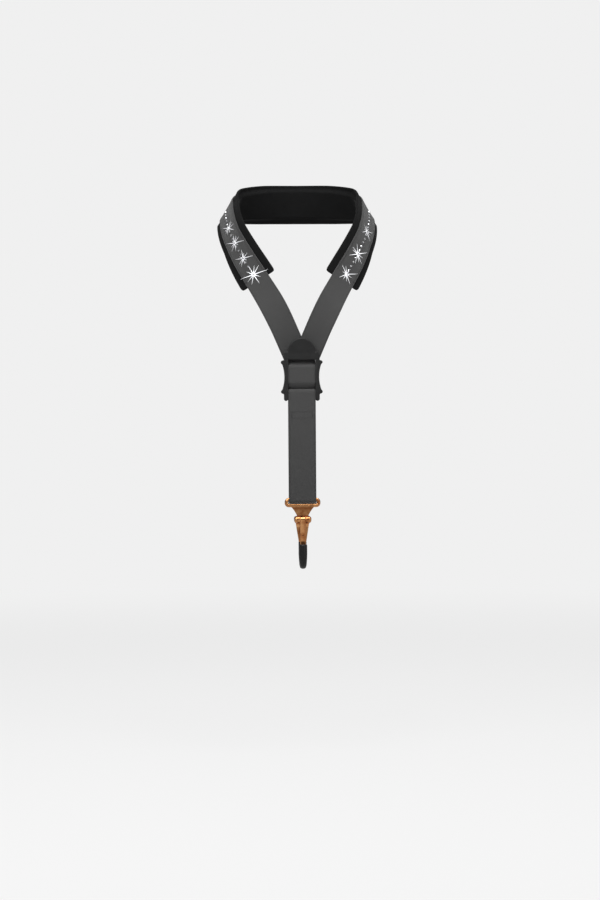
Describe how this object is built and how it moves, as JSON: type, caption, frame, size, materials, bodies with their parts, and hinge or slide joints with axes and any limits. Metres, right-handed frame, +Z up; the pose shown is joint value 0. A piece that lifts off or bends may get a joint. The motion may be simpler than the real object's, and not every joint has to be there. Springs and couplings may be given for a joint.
{
  "type": "saxophone neck strap",
  "caption": "Padded webbing neck strap with crystal trim, a moulded three-bar slider and a swivel snap hook that hold a wind instrument in front of the chest.",
  "frame": {"origin": "middle of the pad's inner face at the nape, where the strap bears on the wearer's neck", "axes": "+Z up as worn, -Y towards the wearer's front (the viewer), +X to the viewer's right"},
  "size_m": [0.1851, 0.1859, 0.4402],
  "materials": {
    "pad_cloth": "matt black cloth, sewn edge",
    "pad_lining": "soft black suede cloth",
    "foam": "closed-cell foam",
    "neck_webbing": "fine ribbed nylon web, charcoal",
    "drop_webbing": "fine ribbed nylon web, charcoal",
    "crystal": "clear cut crystal, foil-backed",
    "slider_plastic": "black acetal, satin",
    "gold_metal": "polished copper-gold plating",
    "sleeve_coat": "black moulded coating",
    "pin_metal": "turned brass",
    "spring_steel": "bright spring wire"
  },
  "bodies": {
    "strap": {"pad_cover": "pad_cloth", "pad_foam": "foam", "pad_lining": "pad_lining", "neck_web": "neck_webbing", "web_drop_top": "drop_webbing", "crystal_left_01": "crystal", "crystal_left_02": "crystal", "crystal_left_03": "crystal", "crystal_left_04": "crystal", "crystal_left_05": "crystal", "crystal_left_06": "crystal", "crystal_left_07": "crystal", "crystal_left_08": "crystal", "crystal_left_09": "crystal", "crystal_left_10": "crystal", "crystal_left_11": "crystal", "crystal_left_12": "crystal", "crystal_left_13": "crystal", "crystal_left_14": "crystal", "crystal_left_15": "crystal", "crystal_left_16": "crystal", "crystal_left_17": "crystal", "crystal_left_18": "crystal", "crystal_right_01": "crystal", "crystal_right_02": "crystal", "crystal_right_03": "crystal", "crystal_right_04": "crystal", "crystal_right_05": "crystal", "crystal_right_06": "crystal", "crystal_right_07": "crystal", "crystal_right_08": "crystal", "crystal_right_09": "crystal", "crystal_right_10": "crystal", "crystal_right_11": "crystal", "crystal_right_12": "crystal", "crystal_right_13": "crystal", "crystal_right_14": "crystal", "crystal_right_15": "crystal", "crystal_right_16": "crystal", "crystal_right_17": "crystal", "crystal_right_18": "crystal"},
    "slider": {"slider_frame": "slider_plastic", "web_over_bar": "drop_webbing", "web_sewn_end": "drop_webbing", "web_back_leg": "drop_webbing", "web_front_leg": "drop_webbing"},
    "hanger": {"web_loop": "drop_webbing"},
    "ring": {"swivel_ring": "gold_metal"},
    "hook": {"swivel_stud": "gold_metal", "hook_body": "gold_metal", "hook_sleeve": "sleeve_coat", "gate_pin": "pin_metal", "gate_spring": "spring_steel"},
    "gate": {"gate_lever": "gold_metal"}
  },
  "joints": [
    {"name": "slider_slide", "type": "slide", "parent": "strap", "child": "slider", "axis": [0, 0, -1], "range_m": [0, 0.13], "deforming": ["web_drop_top"]},
    {"name": "web_take_up", "type": "slide", "parent": "slider", "child": "hanger", "axis": [0, 0, 1], "range_m": [0, 0.065], "deforming": ["web_back_leg", "web_front_leg"]},
    {"name": "ring_swing", "type": "hinge", "parent": "hanger", "child": "ring", "pos_m": [0, -0.1614, -0.34185], "axis": [1, 0, 0], "range_deg": [-60, 60]},
    {"name": "hook_swivel", "type": "hinge", "parent": "ring", "child": "hook", "pos_m": [0, -0.1614, -0.3596], "axis": [0, 0, 1], "continuous": true},
    {"name": "gate_pivot", "type": "hinge", "parent": "hook", "child": "gate", "pos_m": [0, -0.1684, -0.3633], "axis": [1, 0, 0], "range_deg": [0, 15], "stiffness_Nm_per_rad": 0.08, "springref_deg": -20.05}
  ],
  "couplings": [
    {"joint": "web_take_up", "follows": "slider_slide", "ratio": 0.5}
  ]
}
